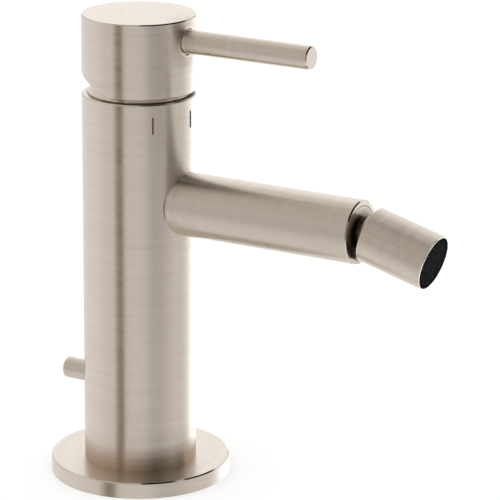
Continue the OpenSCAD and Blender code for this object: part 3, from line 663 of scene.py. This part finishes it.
def cell_places(group, given):
    """A point for every cell of the honeycomb."""
    rows, pitch = given["Rows"], given["Pitch"]
    side = maths(group, "MULTIPLY_ADD", rows, 2, 1)
    index = add(group, "GeometryNodeInputIndex").outputs[0]
    line = maths(group, "FLOOR", maths(group, "DIVIDE", index, side))
    # Rows, and steps along a row, are counted from the middle
    row = maths(group, "SUBTRACT", line, rows)
    in_line = maths(group, "SUBTRACT", index, maths(group, "MULTIPLY", line, side))
    step = maths(group, "SUBTRACT", in_line, rows)
    shifted = maths(group, "MULTIPLY_ADD", maths(group, "FLOORED_MODULO", row, 2), 0.5, step)
    place = add(group, "ShaderNodeCombineXYZ", X=maths(group, "MULTIPLY", shifted, pitch),
                Y=maths(group, "MULTIPLY", row, maths(group, "MULTIPLY", pitch, ROW_STEP)))
    points = add(group, "GeometryNodePoints", Count=maths(group, "MULTIPLY", side, side),
                 Position=place.outputs[0])
    # Points whose cell would touch the rim are dropped
    out = vectors(group, "LENGTH", add(group, "GeometryNodeInputPosition").outputs[0])
    inner = maths(group, "SUBTRACT", given["Radius"], given["Rim"])
    reach = maths(group, "SUBTRACT", inner, given["Mouth"])
    kept = add(group, "GeometryNodeDeleteGeometry", Geometry=points.outputs[0],
               Selection=maths(group, "GREATER_THAN", out, reach))
    return kept.outputs[0]


print("step between rows:", round(ROW_STEP, 3), "pitches")

# %% [markdown]
# The second part puts a six-sided outline on every point, inside a round one. Filling what lies between
# them gives a face of the grid with all its holes. A boolean would do too, but its large faces with many
# holes don't always draw well.

# %% Pierce the faces
RIM_CORNERS = 96
CELL_CORNERS = 6
CELL_TURN = (0, 0, math.radians(30))


def on_places(group, places, shape):
    """A copy of a shape at every place."""
    cells = add(group, "GeometryNodeInstanceOnPoints", Points=places, Instance=shape, Rotation=CELL_TURN)
    return add(group, "GeometryNodeRealizeInstances", Geometry=cells.outputs[0]).outputs[0]


def joined(group, *shapes):
    """Several shapes as one."""
    node = add(group, "GeometryNodeJoinGeometry")
    for shape in shapes:
        put(group, shape, node.inputs[0])
    return node.outputs[0]


def pierced_face(group, places, radius, cell_radius):
    """A flat disc with a hole for every cell."""
    rim = add(group, "GeometryNodeCurvePrimitiveCircle", Resolution=RIM_CORNERS, Radius=radius).outputs[0]
    hole = add(group, "GeometryNodeCurvePrimitiveCircle", Resolution=CELL_CORNERS, Radius=cell_radius)
    outlines = joined(group, rim, on_places(group, places, hole.outputs[0]))
    return add(group, "GeometryNodeFillCurve", Curve=outlines).outputs[0]


print("corners of a cell:", CELL_CORNERS)

# %% [markdown]
# The last part makes the grid solid. Cones without ends give the tapered walls of the cells, a hoop gives
# the skirt, and merging the points that meet closes the whole. Pushing a face to a thickness would be
# shorter, but it would leave the cells straight.

# %% Build the honeycomb rule
MERGE_DISTANCE = 0.000005
HONEYCOMB_INPUTS = {"Radius": "Float", "Thickness": "Float", "Pitch": "Float", "Mouth": "Float",
                    "Throat": "Float", "Rim": "Float", "Rows": "Int", "Place": "Vector",
                    "Turn": "Vector", "Material": "Material"}


def grid_shell(group, given, places):
    """The two faces, the tapered walls of the cells and the skirt, closed to one shell."""
    radius, thickness, mouth, throat = (given[n] for n in ("Radius", "Thickness", "Mouth", "Throat"))
    top = add(group, "ShaderNodeCombineXYZ", Z=thickness).outputs[0]
    middle = add(group, "ShaderNodeCombineXYZ", Z=maths(group, "MULTIPLY", thickness, 0.5)).outputs[0]
    front = add(group, "GeometryNodeTransform", Geometry=pierced_face(group, places, radius, mouth),
                Translation=top)
    rear = add(group, "GeometryNodeFlipFaces", Mesh=pierced_face(group, places, radius, throat))
    cone = add(group, "GeometryNodeMeshCone", fill_type="NONE", Vertices=CELL_CORNERS,
               Radius_Top=mouth, Radius_Bottom=throat, Depth=thickness)
    walls = add(group, "GeometryNodeFlipFaces", Mesh=on_places(group, places, cone.outputs["Mesh"]))
    hoop = add(group, "GeometryNodeMeshCylinder", fill_type="NONE", Vertices=RIM_CORNERS,
               Radius=radius, Depth=thickness)
    skirt = add(group, "GeometryNodeTransform", Geometry=hoop.outputs["Mesh"], Translation=middle)
    parts = joined(group, *(part.outputs[0] for part in (front, rear, walls, skirt)))
    return add(group, "GeometryNodeMergeByDistance", Geometry=parts, Distance=MERGE_DISTANCE).outputs[0]


def honeycomb_group():
    """The whole rule: a shell of cells, put in its place and given its material."""
    group = bpy.data.node_groups.new("honeycomb", "GeometryNodeTree")
    group.interface.new_socket(name="Geometry", in_out="OUTPUT", socket_type="NodeSocketGeometry")
    for name, kind in HONEYCOMB_INPUTS.items():
        group.interface.new_socket(name=name, in_out="INPUT", socket_type="NodeSocket" + kind)
    given = add(group, "NodeGroupInput").outputs
    shell_of_cells = grid_shell(group, given, cell_places(group, given))
    placed = add(group, "GeometryNodeTransform", Geometry=shell_of_cells, Translation=given["Place"],
                 Rotation=given["Turn"])
    whole = add(group, "GeometryNodeRealizeInstances", Geometry=placed.outputs[0])
    dressed = add(group, "GeometryNodeSetMaterial", Geometry=whole.outputs[0], Material=given["Material"])
    add(group, "NodeGroupOutput", Geometry=dressed.outputs[0])
    return group


honeycomb = honeycomb_group()
print("honeycomb rule:", len(honeycomb.nodes), "nodes")

# %% [markdown]
# The rule is run on an empty mesh. Its place and size could be typed in, but they are measured on the CAD
# grid, along the outlet's axis, so the honeycomb always fits. Then the result is turned into a plain mesh
# that rides with the outlet's head.

# %% Mould the honeycomb
ball_centre, outlet_direction = (Vector(value) for value in OUTLET_AXIS)
cad_grid = nodes["aerator_grid"]
corners = [cad_grid.matrix_world @ vertex.co - ball_centre for vertex in cad_grid.data.vertices]
heights = [corner.dot(outlet_direction) for corner in corners]
radii = [(corner - height * outlet_direction).length for corner, height in zip(corners, heights)]
sizes = {"Radius": max(radii), "Thickness": max(heights) - min(heights), "Pitch": 0.00115,
         "Mouth": 0.00058, "Throat": 0.00046, "Rim": 0.0003, "Rows": 8,
         "Place": ball_centre + min(heights) * outlet_direction,
         "Turn": (math.pi / 2 + OUTLET_SLOPE, 0, 0), "Material": black_grid}

grid = bpy.data.objects.new("outlet_honeycomb", bpy.data.meshes.new("empty"))
bpy.context.scene.collection.objects.link(grid)
rule = grid.modifiers.new("honeycomb", "NODES")
rule.node_group = honeycomb
for item in honeycomb.interface.items_tree:
    if item.in_out == "INPUT":
        rule[item.identifier] = sizes[item.name]
evaluated = grid.evaluated_get(bpy.context.evaluated_depsgraph_get())
grid_mesh = bpy.data.meshes.new_from_object(evaluated)
grid.modifiers.clear()
grid.data = grid_mesh
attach(grid, "outlet_head")
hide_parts("aerator_grid")

uses = {}
for polygon in grid_mesh.polygons:
    for key in polygon.edge_keys:
        uses[key] = uses.get(key, 0) + 1
print("honeycomb:", len(grid_mesh.polygons), "faces, open edges:", sum(use != 2 for use in uses.values()))
